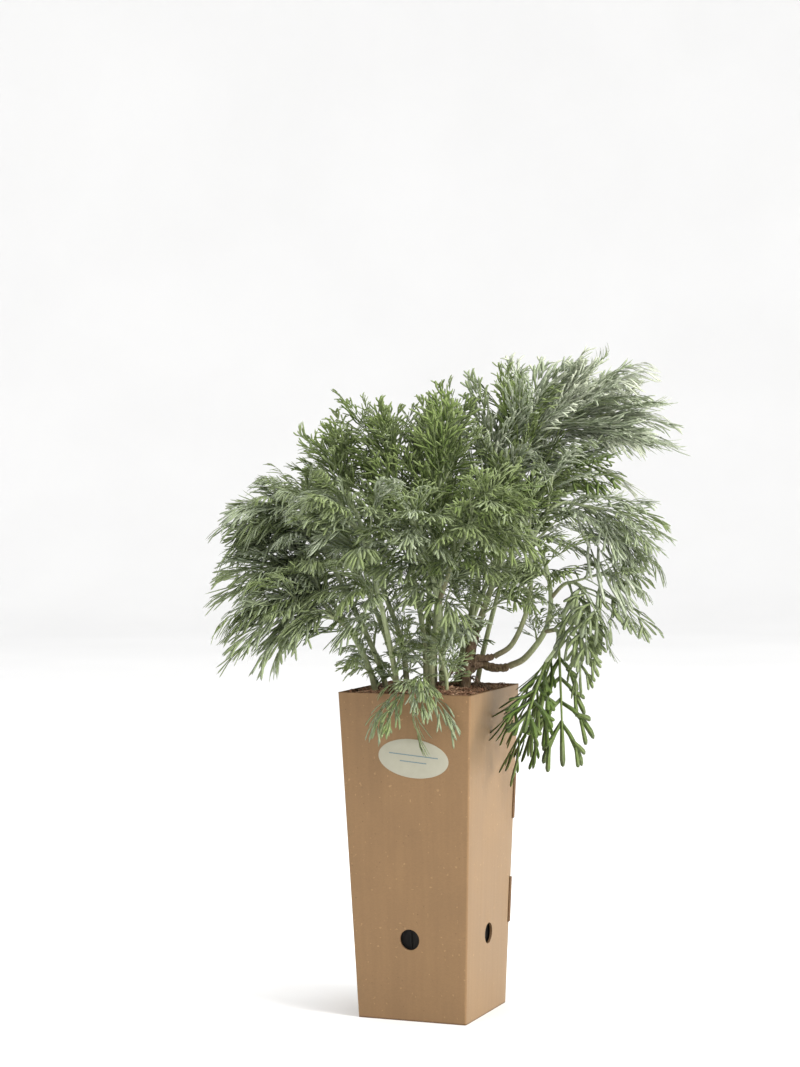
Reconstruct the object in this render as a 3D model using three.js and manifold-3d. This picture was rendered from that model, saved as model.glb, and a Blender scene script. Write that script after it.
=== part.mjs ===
// A tree wormwood in a tall square pot: a folded kraft-board sleeve round a ribbed plastic pot, filled with
// potting soil, with silvery leafy stems that rise from the soil and from a low woody base.
// Millimetres, +Z up. The origin is the middle of the sleeve's underside, and its labelled face looks along -Y.
import * as THREE from "three";
import { mergeVertices } from "three/addons/utils/BufferGeometryUtils.js";
import Module from "manifold-3d";

const wasm = await Module();
wasm.setup();
const { Manifold } = wasm;

// Driving dimensions of the pot
const SLEEVE_HEIGHT = 220;
const SLEEVE_TOP = 95; // outer width at the rim
const SLEEVE_BASE = 77.5; // outer width at the underside
const BOARD = 1.6; // thickness of the corrugated board
const TOUCHING = 0.3; // gap left between pieces that touch
const VENT = { diameter: 14, height: 55, sides: 16 }; // one round hole in each face
const SEAM_TABS = [56, 127.5]; // heights where the rear panel's two tabs start
const TAB = { length: 31, width: 3.4, play: 0.5, inset: 0.2 };
const BASE_FLAP = { edge: 26, width: 60, groove: 0.6 }; // free edge of the flap under the sleeve
const LABEL = { width: 50, height: 26, across: 6, up: 177, turn: -5, thickness: 0.3 };
const POT = {
  top: 214.5, wall: 1.2, play: 1.4, lip: 4, rib: 0.7, ribWidth: 1.4, ribGap: 14, drain: 4, drainAt: 16,
};
const SOIL = { edge: 213.5, mound: 4, bumps: 1.1, cells: 4, hole: 0.35 };

// Driving dimensions of the plant
const TURN = 22.4; // degrees from the pot's front to the side from which the bush is described
const GOLDEN_ANGLE = 137.508; // degrees between one leaf and the next round a stem
const LEAF = { thickness: 0.8, rib: 0.9, clear: 0.4, every: 3 }; // a blade at every third leaf place
// Where a blade is cut: the first and last notch along its rib, and how far its lobes reach, as shares of
// its length
const LOBES = { from: 0.33, to: 0.93, forward: 0.2, side: [0.26, 0.33, 0.29, 0.17], sag: 0.16, end: 1.12 };
const SMALL_LEAF = 60; // a blade shorter than this has one pair of lobes fewer
// A blade that would touch a neighbour is bent round its stem and shortened, a little more at each try
const BEND = { tries: 40, turn: 11, shorter: 0.012 };

// The shoots, by stem. thick: radius at its ends. leaves: places along the part past bare. reach: length of
// the longest leaf. spread: how far lobes reach out, against a leaf cut wide open. droop: how far a leaf's tip
// sinks. open: degrees from the shoot for its last and first leaf. sweep: the way in which its leaves lean.
// route: points [across, deep, high], seen from the bush's best side.
const SHOOTS = [
  { stem: "left_low_stem", thick: [2.3, 1.1], leaves: 21, bare: 0.46, reach: 88, spread: 0.5, droop: 0.42,
    open: [22, 52], sweep: [-0.7, -0.1, 0.3],
    route: [[-36, -9, 190], [-39, -10, 228], [-54, -15, 262], [-68, -20, 284], [-80, -24, 298]] },
  { stem: "left_low_stem", thick: [1.4, 0.9], leaves: 12, bare: 0.35, reach: 62, spread: 0.65, droop: 0.3,
    open: [26, 55], sweep: [-0.45, -0.2, 0],
    route: [[-54, -15, 262], [-71, -29, 274], [-88, -38, 278]] },
  { stem: "left_mid_stem", thick: [2.2, 1.1], leaves: 21, bare: 0.42, reach: 76, spread: 0.55, droop: 0.36,
    open: [24, 56], sweep: [-0.6, 0, 0.2],
    route: [[-26, 4, 190], [-33, 4, 232], [-56, -2, 285], [-74, -8, 320], [-87, -11, 336]] },
  { stem: "left_high_stem", thick: [2.2, 1.1], leaves: 21, bare: 0.42, reach: 62, spread: 0.7, droop: 0.1,
    open: [28, 60], sweep: [-0.3, 0, 0.4],
    route: [[-15, 14, 190], [-18, 13, 245], [-33, 10, 292], [-48, 8, 338], [-59, 6, 366]] },
  { stem: "left_front_stem", thick: [2.1, 1.1], leaves: 21, bare: 0.38, reach: 66, spread: 0.6, droop: 0.34,
    open: [28, 62], sweep: [-0.4, -0.35, 0.1],
    route: [[-20, -16, 190], [-24, -22, 235], [-34, -38, 286], [-44, -50, 324], [-54, -58, 340]] },
  { stem: "upper_left_stem", thick: [2.2, 1.0], leaves: 21, bare: 0.42, reach: 58, spread: 0.7, droop: 0.06,
    open: [26, 60], sweep: [-0.3, 0, 0.25],
    route: [[-4, 10, 190], [-3, 8, 245], [-12, 6, 307], [-20, 4, 354], [-27, 3, 380]] },
  { stem: "front_stem", thick: [2.8, 1.2], leaves: 21, bare: 0.36, reach: 64, spread: 0.85, droop: 0.25,
    open: [28, 65], sweep: [-0.15, -0.35, 0.05],
    route: [[2, -14, 190], [1, -18, 240], [6, -22, 278], [-2, -38, 312], [-12, -54, 335]] },
  { stem: "front_stem", thick: [1.6, 1.0], leaves: 15, bare: 0.2, reach: 58, spread: 0.85, droop: 0.25,
    open: [28, 62], sweep: [0.2, -0.3, 0],
    route: [[6, -22, 278], [16, -40, 308], [27, -54, 330], [35, -60, 342]] },
  { stem: "central_stem", thick: [2.4, 1.0], leaves: 21, bare: 0.42, reach: 54, spread: 0.75, droop: 0.04,
    open: [24, 58], sweep: [0.05, 0, 0.3],
    route: [[9, 4, 190], [8, 2, 250], [7, 1, 300], [8, -3, 350], [12, -4, 390]] },
  { stem: "crown_stem", thick: [2.4, 1.1], leaves: 24, bare: 0.24, reach: 60, spread: 0.7, droop: 0.04,
    open: [26, 58], sweep: [0.05, 0, 0.3],
    route: [[32.4, 6, 260], [40, 6, 280], [54, 7, 320], [60, 7, 362], [61, 7, 398]] },
  { stem: "right_high_stem", thick: [2.4, 1.1], leaves: 24, bare: 0.42, reach: 86, spread: 0.45, droop: 0.08,
    open: [24, 54], sweep: [0.4, -0.05, 0.32],
    route: [[17, 14, 190], [24, 16, 240], [34, 17, 293], [48, 17, 345], [64, 15, 382], [79, 13, 404]] },
  { stem: "right_high_stem", thick: [1.5, 1.0], leaves: 15, bare: 0.22, reach: 88, spread: 0.45, droop: 0.12,
    open: [20, 48], sweep: [0.7, 0, 0.05],
    route: [[57, 16, 368], [73, 19, 385], [87, 20, 394], [98, 20, 398]] },
  { stem: "right_mid_stem", thick: [2.0, 1.0], leaves: 18, bare: 0.42, reach: 64, spread: 1, droop: 0.1,
    open: [26, 62], sweep: [0.4, -0.1, 0.05],
    route: [[27, 20, 190], [38, 26, 245], [54, 24, 300], [74, 12, 346], [91, -2, 368]] },
  { stem: "arching_stem", thick: [1.9, 0.9], leaves: 18, bare: 0.46, reach: 62, spread: 0.65, droop: 0.25,
    open: [24, 58], sweep: [0.3, -0.1, -0.3],
    route: [[44, -2, 241], [57, -5, 251], [68, -8, 280], [70, -10, 318], [86, -12, 343], [107, -12, 342],
      [122, -12, 326]] },
  { stem: "lower_right_stem", thick: [2.3, 1.1], leaves: 15, bare: 0.56, reach: 54, spread: 0.85, droop: 0.2,
    open: [30, 65], sweep: [0, -0.3, 0.05],
    route: [[54, 2, 234], [66, -2, 241], [80, -6, 262], [82, -8, 288], [74, -22, 316], [62, -30, 336]] },
  { stem: "lower_right_stem", thick: [1.4, 0.9], leaves: 12, bare: 0.35, reach: 64, spread: 1, droop: 0.3,
    open: [34, 62], sweep: [0.15, -0.1, -0.35],
    route: [[82, -6, 280], [91, -12, 290], [99, -18, 291], [105, -22, 286]] },
  { stem: "lower_right_stem", thick: [1.5, 1.1], leaves: 13, bare: 0.4, reach: 82, spread: 1, droop: 0.2,
    open: [34, 52], sweep: [0, -0.1, -0.6],
    route: [[79, -6, 258], [86, -20, 259], [84, -31, 249], [77, -38, 240]] },
  { stem: "front_low_shoot", thick: [1.3, 0.8], leaves: 7, bare: 0.4, reach: 44, spread: 0.8, droop: 0.3,
    open: [24, 55], sweep: [0, -0.3, -0.6],
    route: [[-7, -29, 200], [-8, -33, 222], [-13, -45, 229], [-18, -54, 222]] },
  { stem: "low_middle_shoot", thick: [1.4, 0.8], leaves: 12, bare: 0.3, reach: 30, spread: 0.8, droop: 0.2,
    open: [30, 75], sweep: [0, -0.2, 0.1],
    route: [[10, -26, 195], [11, -29, 225], [9, -32, 242], [12, -35, 254]] },
  { stem: "back_left_stem", thick: [2.2, 1.1], leaves: 21, bare: 0.4, reach: 66, spread: 0.7, droop: 0.28,
    open: [28, 60], sweep: [-0.3, 0.2, 0],
    route: [[-20, 26, 190], [-26, 32, 240], [-46, 50, 292], [-66, 66, 332], [-78, 76, 348]] },
  { stem: "back_stem", thick: [2.3, 1.1], leaves: 21, bare: 0.4, reach: 64, spread: 0.75, droop: 0.28,
    open: [28, 60], sweep: [0, 0.35, 0],
    route: [[-2, 30, 190], [-1, 36, 245], [2, 54, 300], [6, 74, 344], [8, 84, 360]] },
  { stem: "back_right_stem", thick: [2.2, 1.1], leaves: 21, bare: 0.4, reach: 66, spread: 0.7, droop: 0.28,
    open: [28, 60], sweep: [0.25, 0.25, 0],
    route: [[14, 28, 190], [24, 36, 245], [44, 52, 295], [64, 66, 338], [78, 74, 354]] },
  { stem: "back_high_stem", thick: [2.2, 1.0], leaves: 21, bare: 0.42, reach: 56, spread: 0.75, droop: 0.06,
    open: [26, 60], sweep: [0, 0.15, 0.2],
    route: [[3, 20, 190], [4, 22, 250], [8, 32, 310], [8, 42, 360], [4, 48, 384]] },
];

// The woody base: a short trunk out of the soil that forks into three brown limbs
const WOODY_LIMBS = [
  { route: [[22, -4, 185], [23, -4, 214], [26, -2, 236], [30, 3, 250], [32, 5.5, 257.6]], thick: [4.4, 2.9] },
  { route: [[25, -3, 230], [33, -1, 236], [44, 1, 233], [52.3, 1.6, 233.2]], thick: [3.2, 2.7] },
  { route: [[26, -2, 235], [32, -3, 240], [38, -3, 240], [42.4, -2.2, 240.6]], thick: [2.6, 2.2] },
];
const TUBE = { sides: 5, limbSides: 6, stepsPerPoint: 2 };

const COLOURS = {
  board: new THREE.MeshStandardMaterial({ color: 0xb08a62, roughness: 0.9, metalness: 0 }),
  label: new THREE.MeshStandardMaterial({ color: 0xd8d4c2, roughness: 0.6, metalness: 0 }),
  plastic: new THREE.MeshStandardMaterial({ color: 0x1d1c1b, roughness: 0.5, metalness: 0 }),
  soil: new THREE.MeshStandardMaterial({ color: 0x5a3d2a, roughness: 1, metalness: 0 }),
  bark: new THREE.MeshStandardMaterial({ color: 0x6b5540, roughness: 0.9, metalness: 0 }),
  foliage: new THREE.MeshStandardMaterial({ color: 0x8c9c80, roughness: 0.8, metalness: 0 }),
};

// Solids and meshes

// The solid that a closed geometry bounds.
function solidOf(geometry) {
  const bare = geometry.index ? geometry.toNonIndexed() : geometry.clone();
  bare.deleteAttribute("normal");
  bare.deleteAttribute("uv");
  const merged = mergeVertices(bare, 1e-4);
  return new Manifold(new wasm.Mesh({
    numProp: 3,
    vertProperties: new Float32Array(merged.attributes.position.array),
    triVerts: new Uint32Array(merged.index.array),
  }));
}

function meshOf(name, solid, material) {
  const { vertProperties, triVerts } = solid.getMesh();
  const geometry = new THREE.BufferGeometry();
  geometry.setAttribute("position", new THREE.BufferAttribute(vertProperties, 3));
  geometry.setIndex(new THREE.BufferAttribute(triVerts, 1));
  geometry.computeVertexNormals();
  const mesh = new THREE.Mesh(geometry, material);
  mesh.name = name;
  return mesh;
}

// A geometry from a list of points and a list of triangles.
function geometryOf(points, triangles) {
  const geometry = new THREE.BufferGeometry().setFromPoints(points);
  geometry.setIndex(triangles.flat());
  return geometry;
}

// A block between two heights. low and high are its sides there: [x0, x1, y0, y1, z].
function block(low, high) {
  const corners = [low, high].flatMap(([x0, x1, y0, y1, z]) =>
    [[x0, y0], [x1, y0], [x1, y1], [x0, y1]].map(([x, y]) => new THREE.Vector3(x, y, z)));
  const sides = [0, 1, 2, 3].flatMap((i) => {
    const next = (i + 1) % 4;
    return [[i, next, next + 4], [i, next + 4, i + 4]];
  });
  return solidOf(geometryOf(corners, [[0, 2, 1], [0, 3, 2], [4, 5, 6], [4, 6, 7], ...sides]));
}

// Half the sleeve's outer width at a height.
const halfAt = (z) => (SLEEVE_BASE + (SLEEVE_TOP - SLEEVE_BASE) * z / SLEEVE_HEIGHT) / 2;

// A block that follows the sleeve's taper, a distance inside its outer faces.
function tapered(z0, z1, inside) {
  const [low, high] = [z0, z1].map((z) => {
    const half = halfAt(z) - inside;
    return [-half, half, -half, half, z];
  });
  return block(low, high);
}

// A straight round bar along x, y or z through a point.
function bar(axis, radius, length, centre, sides) {
  const geometry = new THREE.CylinderGeometry(radius, radius, length, sides);
  if (axis === "x") geometry.rotateZ(Math.PI / 2);
  if (axis === "z") geometry.rotateX(Math.PI / 2);
  geometry.translate(...centre);
  return solidOf(geometry);
}

// The cardboard sleeve

// A block at the sleeve's rear right edge, where the side panel meets the rear panel.
function edgeBlock(z0, z1, depth, width, proud) {
  const [low, high] = [z0, z1].map((z) => {
    const half = halfAt(z);
    return [half - depth, half + proud.x, half - width, half + proud.y, z];
  });
  return block(low, high);
}

function sleeveSolid() {
  const beyond = 1;
  const across = SLEEVE_TOP + 2 * beyond;
  const vents = ["x", "y"].map((axis) => bar(axis, VENT.diameter / 2, across, [0, 0, VENT.height], VENT.sides));
  const notches = SEAM_TABS.map((z) =>
    edgeBlock(z, z + TAB.length + TAB.play, BOARD, TAB.width + TAB.play, { x: beyond, y: beyond }));
  const tabs = SEAM_TABS.map((z) =>
    edgeBlock(z - TAB.play, z + TAB.length, BOARD + TAB.play, TAB.width, { x: -TAB.inset, y: 0 }));
  const halfFlap = BASE_FLAP.width / 2;
  const flapSides = [-halfFlap, halfFlap, BASE_FLAP.edge, BASE_FLAP.edge + BASE_FLAP.groove];
  const flapEdge = block([...flapSides, -beyond], [...flapSides, BASE_FLAP.groove]);
  const shell = tapered(0, SLEEVE_HEIGHT, 0)
    .subtract(tapered(BOARD, SLEEVE_HEIGHT + beyond, BOARD));
  return [...vents, ...notches, flapEdge]
    .reduce((left, cut) => left.subtract(cut), shell)
    .add(Manifold.union(tabs));
}

// An oval paper sticker that lies flat on the sleeve's leaning front.
function labelSolid() {
  const outline = new THREE.Shape().absellipse(0, 0, LABEL.width / 2, LABEL.height / 2, 0, 2 * Math.PI);
  const geometry = new THREE.ExtrudeGeometry(outline,
    { depth: LABEL.thickness, bevelEnabled: false, curveSegments: 11 });
  const lean = Math.atan((SLEEVE_TOP - SLEEVE_BASE) / 2 / SLEEVE_HEIGHT);
  geometry.rotateZ(THREE.MathUtils.degToRad(LABEL.turn));
  geometry.rotateX(Math.PI / 2 + lean);
  geometry.translate(LABEL.across, -halfAt(LABEL.up) - TOUCHING, LABEL.up);
  return solidOf(geometry);
}

// The plastic pot inside

function potSolid() {
  const bottom = BOARD + TOUCHING;
  const outside = BOARD + POT.play;
  const base = [-1, 1].flatMap((x) => [-1, 1].map((y) =>
    bar("z", POT.drain, 20, [x * POT.drainAt, y * POT.drainAt, 0], 12)));
  const ribs = [-1, 0, 1].flatMap((n) => ["x", "y"].map((axis) => {
    const [low, high] = [bottom, POT.top - POT.lip].map((z) => {
      const half = halfAt(z) - outside + POT.rib;
      const narrow = [n * POT.ribGap - POT.ribWidth / 2, n * POT.ribGap + POT.ribWidth / 2];
      return axis === "x" ? [-half, half, ...narrow, z] : [...narrow, -half, half, z];
    });
    return block(low, high);
  }));
  const lip = tapered(POT.top - POT.lip, POT.top, outside - POT.rib);
  const body = Manifold.union([tapered(bottom, POT.top, outside), lip, ...ribs]);
  const inside = tapered(bottom + POT.wall, POT.top + 1, outside + POT.wall);
  return base.reduce((left, drain) => left.subtract(drain), body.subtract(inside));
}

// The soil: a plug that fills the pot, mounded and lumpy on top, with a plain hole for each stem

function soilSolid(stems) {
  const bottom = BOARD + POT.wall + 2 * TOUCHING;
  const inside = BOARD + POT.play + POT.wall + TOUCHING;
  const geometry = new THREE.BoxGeometry(2, 2, 1, SOIL.cells, SOIL.cells, 1);
  const place = geometry.attributes.position;
  for (let i = 0; i < place.count; i += 1) {
    const [x, y] = [place.getX(i), place.getY(i)];
    const bump = SOIL.bumps * Math.sin(5.1 * x + 2.3 * y) * Math.cos(4.3 * y - 3.1 * x);
    const top = SOIL.edge + SOIL.mound * (1 - x * x) * (1 - y * y) + bump;
    const z = place.getZ(i) > 0 ? top : bottom;
    const half = halfAt(Math.min(z, SOIL.edge)) - inside;
    place.setXYZ(i, x * half, y * half, z);
  }
  return stems.reduce((left, stem) => left.subtract(stem), solidOf(geometry));
}

// The plant

const radians = THREE.MathUtils.degToRad;
const UP = new THREE.Vector3(0, 0, 1);
// where turns round a shoot are counted from
const ROUND_FROM = new THREE.Vector3(0.35, -0.55, 0.76).normalize();

// A number from 0 to 1 that looks random and is the same for the same two numbers.
function chance(a, b) {
  const wave = Math.sin(a * 12.9898 + b * 78.233) * 43758.5453;
  return wave - Math.floor(wave);
}

// A point or direction given as [across, deep, high], in the pot's frame.
function turned([across, deep, high]) {
  return new THREE.Vector3(across, deep, high).applyAxisAngle(UP, radians(TURN));
}

const curveOf = (route) => new THREE.CatmullRomCurve3(route.map(turned), false, "catmullrom", 0.5);

// A tapering stem along a route, with a pointed cap at each end.
function tube(route, [thick, thin], sides, extra = 0) {
  const curve = curveOf(route);
  const steps = TUBE.stepsPerPoint * (route.length - 1);
  const { tangents, normals, binormals } = curve.computeFrenetFrames(steps, false);
  const points = [];
  for (let i = 0; i <= steps; i += 1) {
    const radius = thick + (thin - thick) * i / steps + extra;
    const centre = curve.getPointAt(i / steps).addScaledVector(tangents[i], i === 0 ? -extra : 0);
    for (let j = 0; j < sides; j += 1) {
      const angle = 2 * Math.PI * j / sides;
      points.push(centre.clone()
        .addScaledVector(normals[i], radius * Math.cos(angle))
        .addScaledVector(binormals[i], radius * Math.sin(angle)));
    }
  }
  const [first, last] = [points.length, points.length + 1];
  points.push(curve.getPointAt(0).addScaledVector(tangents[0], -thick / 3 - 2 * extra));
  points.push(curve.getPointAt(1).addScaledVector(tangents[steps], thin / 3));
  const triangles = [];
  for (let j = 0; j < sides; j += 1) {
    const next = (j + 1) % sides;
    const end = steps * sides;
    triangles.push([first, next, j], [last, end + j, end + next]);
    for (let i = 0; i < steps; i += 1) {
      const [low, high] = [i * sides, (i + 1) * sides];
      triangles.push([low + j, low + next, high + next], [low + j, high + next, high + j]);
    }
  }
  return solidOf(geometryOf(points, triangles));
}

// Where leaf place k of a shoot lies, counted back from the shoot's tip, at one of the tries: the rib's root,
// middle and tip, the leaf's length, and the directions across its blade and out of its face.
function leafLine(shoot, number, k, attempt) {
  const curve = curveOf(shoot.route);
  const back = k / (shoot.leaves - 1);
  const at = 1 - (1 - shoot.bare) * back ** 0.9;
  const stem = curve.getTangent(at);
  const first = stem.clone().cross(ROUND_FROM).normalize();
  const second = stem.clone().cross(first);
  const turn = BEND.turn * Math.ceil(attempt / 2) * (attempt % 2 ? 1 : -1);
  const round = radians(k * GOLDEN_ANGLE + number * 61 + 26 * (chance(number, k) - 0.5) + turn);
  const open = radians(shoot.open[0] + (shoot.open[1] - shoot.open[0]) * back);
  const way = stem.clone().multiplyScalar(Math.cos(open))
    .addScaledVector(first, Math.sin(open) * Math.cos(round))
    .addScaledVector(second, Math.sin(open) * Math.sin(round))
    .add(turned(shoot.sweep))
    .normalize();
  const size = (0.62 + 0.38 * Math.sin(Math.PI * (0.12 + 0.75 * back))) * (0.9 + 0.2 * chance(number, k + 50));
  const length = shoot.reach * size * (1 - BEND.shorter * attempt);
  const droop = shoot.droop * (0.6 + 0.7 * back);
  const root = curve.getPoint(at);
  const middle = root.clone().addScaledVector(way, 0.5 * length);
  const tip = root.clone().addScaledVector(way, 0.86 * length).addScaledVector(UP, -droop * length);
  const chord = tip.clone().sub(root).normalize();
  const level = chord.clone().cross(UP).normalize();
  const roll = radians(56 * (chance(number, k + 90) - 0.5));
  const across = level.clone().multiplyScalar(Math.cos(roll))
    .addScaledVector(chord.clone().cross(level), Math.sin(roll));
  const face = chord.clone().cross(across).normalize();
  return { root, middle, tip, length, across, face, spread: shoot.spread };
}

// A point of a blade: a share along its rib, and a distance to its side.
function bladePoint({ root, middle, tip, across, face }, along, side) {
  const left = 1 - along;
  return root.clone().multiplyScalar(left * left)
    .addScaledVector(middle, 2 * left * along)
    .addScaledVector(tip, along * along)
    .addScaledVector(across, side)
    .addScaledVector(face, -LOBES.sag * Math.abs(side) * Math.sign(face.z));
}

// One leaf: a thin arched blade cut nearly to its rib into pairs of lobes and an end lobe.
function leafSolid(line) {
  const pairs = LOBES.side.length - (line.length < SMALL_LEAF ? 1 : 0);
  const step = (LOBES.to - LOBES.from) / pairs;
  const rib = [0];
  for (let j = 0; j <= pairs; j += 1) rib.push(LOBES.from + step * j);
  const spots = [];
  const spot = (along, side) => spots.push(bladePoint(line, along, side)) - 1;
  const left = rib.map((along) => spot(along, LEAF.rib));
  const right = rib.map((along) => spot(along, -LEAF.rib));
  const end = spot(LOBES.end, 0);
  const faces = [[left[0], right[0], right[1]], [left[0], right[1], left[1]]];
  const edgeLeft = [left[0], left[1]];
  const edgeRight = [right[0], right[1]];
  for (let j = 0; j < pairs; j += 1) {
    const along = rib[j + 2] + LOBES.forward;
    const out = LOBES.side[j] * line.spread * line.length;
    const [tipLeft, tipRight] = [spot(along, out), spot(along, -out)];
    const [a, b] = [j + 1, j + 2];
    faces.push([left[a], right[a], right[b]], [left[a], right[b], left[b]]);
    faces.push([left[a], left[b], tipLeft], [right[a], tipRight, right[b]]);
    edgeLeft.push(tipLeft, left[b]);
    edgeRight.push(tipRight, right[b]);
  }
  faces.push([left[pairs + 1], right[pairs + 1], end]);
  const outline = [...edgeRight, end, ...edgeLeft.reverse()];
  const count = spots.length;
  const half = LEAF.thickness / 2;
  const points = [1, -1].flatMap((way) => spots.map((p) => p.clone().addScaledVector(line.face, way * half)));
  const under = faces.map(([a, b, c]) => [a + count, c + count, b + count]);
  const walls = outline.flatMap((a, i) => {
    const b = outline[(i + 1) % outline.length];
    return [[a, b + count, b], [a, a + count, b + count]];
  });
  return solidOf(geometryOf(points, [...faces, ...under, ...walls]));
}

// True if two solids' boxes come within a distance of each other.
function near(a, b, gap) {
  return [0, 1, 2].every((i) => a.box.min[i] - gap < b.box.max[i] && b.box.min[i] - gap < a.box.max[i]);
}

const boxed = (solid, stem) => ({ solid, stem, box: solid.boundingBox() });

function clearOf(piece, others) {
  return others.every((other) =>
    !near(piece, other, LEAF.clear) || piece.solid.minGap(other.solid, LEAF.clear) >= LEAF.clear);
}

// Grows the blades of every shoot in turn, each at the first try at which it touches nothing.
function growLeaves(stems, inTheWay) {
  const leaves = [];
  const furthest = Math.max(...SHOOTS.map((shoot) => shoot.leaves));
  for (let k = 0; k < furthest; k += LEAF.every) {
    SHOOTS.forEach((shoot, number) => {
      if (k >= shoot.leaves) return;
      const others = [...inTheWay, ...stems.filter((piece, other) => other !== number), ...leaves];
      for (let attempt = 0; attempt < BEND.tries; attempt += 1) {
        const piece = boxed(leafSolid(leafLine(shoot, number, k, attempt)), shoot.stem);
        if (clearOf(piece, others)) {
          leaves.push(piece);
          return;
        }
      }
    });
  }
  return leaves;
}

// The object

const sleeve = sleeveSolid();
const pot = potSolid();
const limbs = WOODY_LIMBS.map(({ route, thick }) => tube(route, thick, TUBE.limbSides));
const woody = Manifold.union(limbs);
const stems = SHOOTS.map(({ stem, route, thick }) => boxed(tube(route, thick, TUBE.sides), stem));
const stemNames = [...new Set(SHOOTS.map(({ stem }) => stem))];
const holes = [
  ...WOODY_LIMBS.map(({ route, thick }) => tube(route, thick, TUBE.limbSides, SOIL.hole)),
  ...SHOOTS.map(({ route, thick }) => tube(route, thick, TUBE.sides, SOIL.hole)),
];
const soil = soilSolid(holes);
const leaves = growLeaves(stems, [sleeve, pot, soil, woody].map((solid) => boxed(solid, "")));

const part = new THREE.Group();
part.add(meshOf("cardboard_sleeve", sleeve, COLOURS.board));
part.add(meshOf("oval_label", labelSolid(), COLOURS.label));
part.add(meshOf("inner_pot", pot, COLOURS.plastic));
part.add(meshOf("potting_soil", soil, COLOURS.soil));
part.add(meshOf("woody_base", woody, COLOURS.bark));
for (const name of stemNames) {
  const pieces = [...stems, ...leaves].filter((piece) => piece.stem === name).map((piece) => piece.solid);
  part.add(meshOf(name, Manifold.union(pieces), COLOURS.foliage));
}

export default part;
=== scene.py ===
"""A potted tree wormwood: silvery, finely cut leaves on arching stems, in soil, in a kraft-board sleeve.

Lengths are millimetres in the frame's own axes (+Z up, the labelled face looks along -Y), and MM makes them
the scene's metres. The stems' routes and the rule that places their leaves are those of the solid model, so
each finer leaf grows where a solid blade is, and others stand between them.
"""

import math
from collections import namedtuple

import bpy
import numpy as np
from mathutils import Matrix, Vector, noise
from mathutils.kdtree import KDTree


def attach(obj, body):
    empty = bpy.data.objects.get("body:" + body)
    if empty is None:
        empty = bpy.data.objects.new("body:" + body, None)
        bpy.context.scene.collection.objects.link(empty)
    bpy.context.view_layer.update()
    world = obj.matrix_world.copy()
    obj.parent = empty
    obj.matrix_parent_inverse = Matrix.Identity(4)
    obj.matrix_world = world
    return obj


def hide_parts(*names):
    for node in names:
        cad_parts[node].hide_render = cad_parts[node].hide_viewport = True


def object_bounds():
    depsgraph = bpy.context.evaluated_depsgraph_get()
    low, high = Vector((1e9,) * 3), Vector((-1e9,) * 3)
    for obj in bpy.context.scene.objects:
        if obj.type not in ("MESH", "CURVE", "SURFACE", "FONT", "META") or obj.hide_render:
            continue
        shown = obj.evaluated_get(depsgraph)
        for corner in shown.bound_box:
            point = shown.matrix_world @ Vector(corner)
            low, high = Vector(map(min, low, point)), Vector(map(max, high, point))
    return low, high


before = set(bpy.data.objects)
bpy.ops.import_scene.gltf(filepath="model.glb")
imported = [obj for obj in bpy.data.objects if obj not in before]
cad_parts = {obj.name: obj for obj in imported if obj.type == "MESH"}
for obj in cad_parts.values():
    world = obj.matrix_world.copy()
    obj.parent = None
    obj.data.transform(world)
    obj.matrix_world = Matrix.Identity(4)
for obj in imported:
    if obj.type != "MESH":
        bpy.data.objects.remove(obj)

CAD_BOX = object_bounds()
MM = 0.001

# Driving dimensions of the pot, as on the solid model
SLEEVE_HEIGHT = 220
SLEEVE_TOP = 95
SLEEVE_BASE = 77.5
BOARD = 1.6
VENT = {"diameter": 14, "height": 55}
SEAM_TABS = (56, 127.5)
TAB = {"length": 31, "width": 3.4, "play": 0.5, "proud": 0.7}
LABEL = {"width": 50, "height": 26, "across": 6, "up": 177, "turn": -5, "thick": 0.22}
RULES = {"rows": ((2.1, 17.5), (-2.3, 9.5)), "steps": 12, "half": 0.35}  # rows: height, half length
BASE_FLAP = {"edge": 26, "width": 60, "groove": 0.6}
SOIL = {"under": 214.6, "layer": 218.7, "rise": 1.8, "cells": 76, "crumbs": 420, "fibres": 320}
OCTAHEDRON_EDGES = ((0, 1), (0, 2), (0, 3), (0, 4), (1, 2), (2, 3), (3, 4), (4, 1),
                    (5, 1), (5, 2), (5, 3), (5, 4))
OCTAHEDRON_FACES = [(a, b, c, -1) for i in range(4) for a, b, c in (
    (0, 6 + i, 6 + (i + 1) % 4), (6 + i, 1 + i, 10 + i), (6 + (i + 1) % 4, 10 + i, 1 + (i + 1) % 4),
    (6 + i, 10 + i, 6 + (i + 1) % 4), (5, 14 + (i + 1) % 4, 14 + i), (14 + i, 10 + i, 1 + i),
    (14 + (i + 1) % 4, 1 + (i + 1) % 4, 10 + i), (14 + i, 14 + (i + 1) % 4, 10 + i))]

# Finish of the board
FOLD_RADIUS = 1.3
LINER = 0.35  # thickness of the board's two outer papers
RIM_GAP = 2.5  # how deep the rim is open between them
FLUTE = {"pitch": 3.4, "paper": 0.2, "below_rim": 0.3}
SHARP_FROM = 40  # degrees between two faces where shading breaks
DAMP = {"from": 189, "over": 35}  # the height where the stained top starts, and how far it takes to grow

# Driving dimensions of the plant, as on the solid model
TURN = 22.4
GOLDEN_ANGLE = 137.508
BLADE = {"thickness": 0.8, "every": 3, "sag": 0.16, "end": 1.12, "near": 0.05}
BEND = {"tries": 40, "turn": 11, "shorter": 0.012}

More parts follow.
